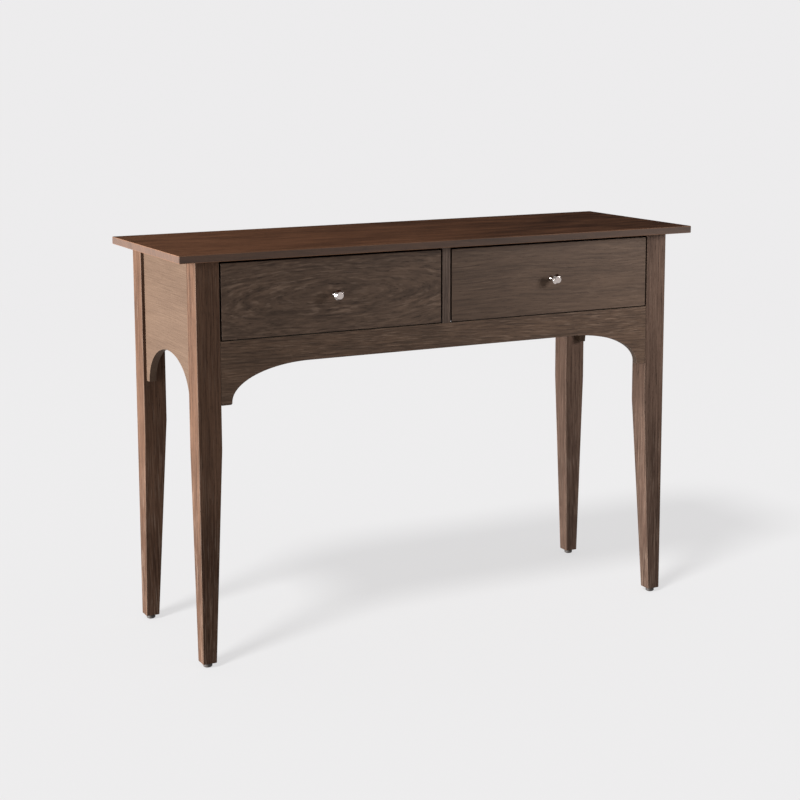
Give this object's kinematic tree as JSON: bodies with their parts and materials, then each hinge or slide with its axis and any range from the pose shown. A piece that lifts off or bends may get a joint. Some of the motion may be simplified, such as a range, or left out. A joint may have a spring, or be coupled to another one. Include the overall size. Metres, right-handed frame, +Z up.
{
  "type": "console table",
  "caption": "Console table with side-by-side inset drawers over an arched apron, on square legs that taper on their inner faces.",
  "frame": {"origin": "on the floor, under the middle of the top's outline", "axes": "+X to the right as seen from the front, +Y to the back (the drawers open towards -Y), +Z up"},
  "size_m": [1.086, 0.37, 0.762],
  "materials": {
    "dark_stained_wood": "open-grain hardwood veneer with a dark brown stain and a satin lacquer",
    "pale_hardwood": "clear-sealed pale hardwood and plywood of the drawer boxes and inner frame",
    "satin_nickel": "polished to satin nickel plate",
    "zinc_steel": "bright zinc plate",
    "dark_nylon": "moulded, matte"
  },
  "bodies": {
    "table_frame": {"back_panel": "dark_stained_wood", "centre_divider": "pale_hardwood", "centre_stile": "dark_stained_wood", "corner_block_back_left": "pale_hardwood", "corner_block_back_right": "pale_hardwood", "corner_block_front_left": "pale_hardwood", "corner_block_front_right": "pale_hardwood", "foot_glide_back_left": "dark_nylon", "foot_glide_back_right": "dark_nylon", "foot_glide_front_left": "dark_nylon", "foot_glide_front_right": "dark_nylon", "front_apron": "dark_stained_wood", "leg_back_left": "dark_stained_wood", "leg_back_right": "dark_stained_wood", "leg_bolt_back_left": "zinc_steel", "leg_bolt_back_right": "zinc_steel", "leg_bolt_front_left": "zinc_steel", "leg_bolt_front_right": "zinc_steel", "leg_front_left": "dark_stained_wood", "leg_front_right": "dark_stained_wood", "leg_nut_back_left": "zinc_steel", "leg_nut_back_right": "zinc_steel", "leg_nut_front_left": "zinc_steel", "leg_nut_front_right": "zinc_steel", "side_panel_left": "dark_stained_wood", "side_panel_right": "dark_stained_wood", "slide_case_member_left_inner": "zinc_steel", "slide_case_member_left_outer": "zinc_steel", "slide_case_member_right_inner": "zinc_steel", "slide_case_member_right_outer": "zinc_steel", "slide_cleat_left": "pale_hardwood", "slide_cleat_right": "pale_hardwood", "tabletop": "dark_stained_wood", "top_bracket_back_left": "zinc_steel", "top_bracket_back_right": "zinc_steel", "top_bracket_side_left": "zinc_steel", "top_bracket_side_right": "zinc_steel"},
    "drawer_left": {"drawer_left_back": "pale_hardwood", "drawer_left_bottom": "pale_hardwood", "drawer_left_front": "dark_stained_wood", "drawer_left_knob": "satin_nickel", "drawer_left_knob_screw": "zinc_steel", "drawer_left_side_left": "pale_hardwood", "drawer_left_side_right": "pale_hardwood", "slide_drawer_member_left_inner": "zinc_steel", "slide_drawer_member_left_outer": "zinc_steel"},
    "drawer_right": {"drawer_right_back": "pale_hardwood", "drawer_right_bottom": "pale_hardwood", "drawer_right_front": "dark_stained_wood", "drawer_right_knob": "satin_nickel", "drawer_right_knob_screw": "zinc_steel", "drawer_right_side_left": "pale_hardwood", "drawer_right_side_right": "pale_hardwood", "slide_drawer_member_right_inner": "zinc_steel", "slide_drawer_member_right_outer": "zinc_steel"}
  },
  "joints": [
    {"name": "drawer_left_slide", "type": "slide", "parent": "table_frame", "child": "drawer_left", "axis": [0, -1, 0], "range_m": [0, 0.19]},
    {"name": "drawer_right_slide", "type": "slide", "parent": "table_frame", "child": "drawer_right", "axis": [0, -1, 0], "range_m": [0, 0.19]}
  ]
}
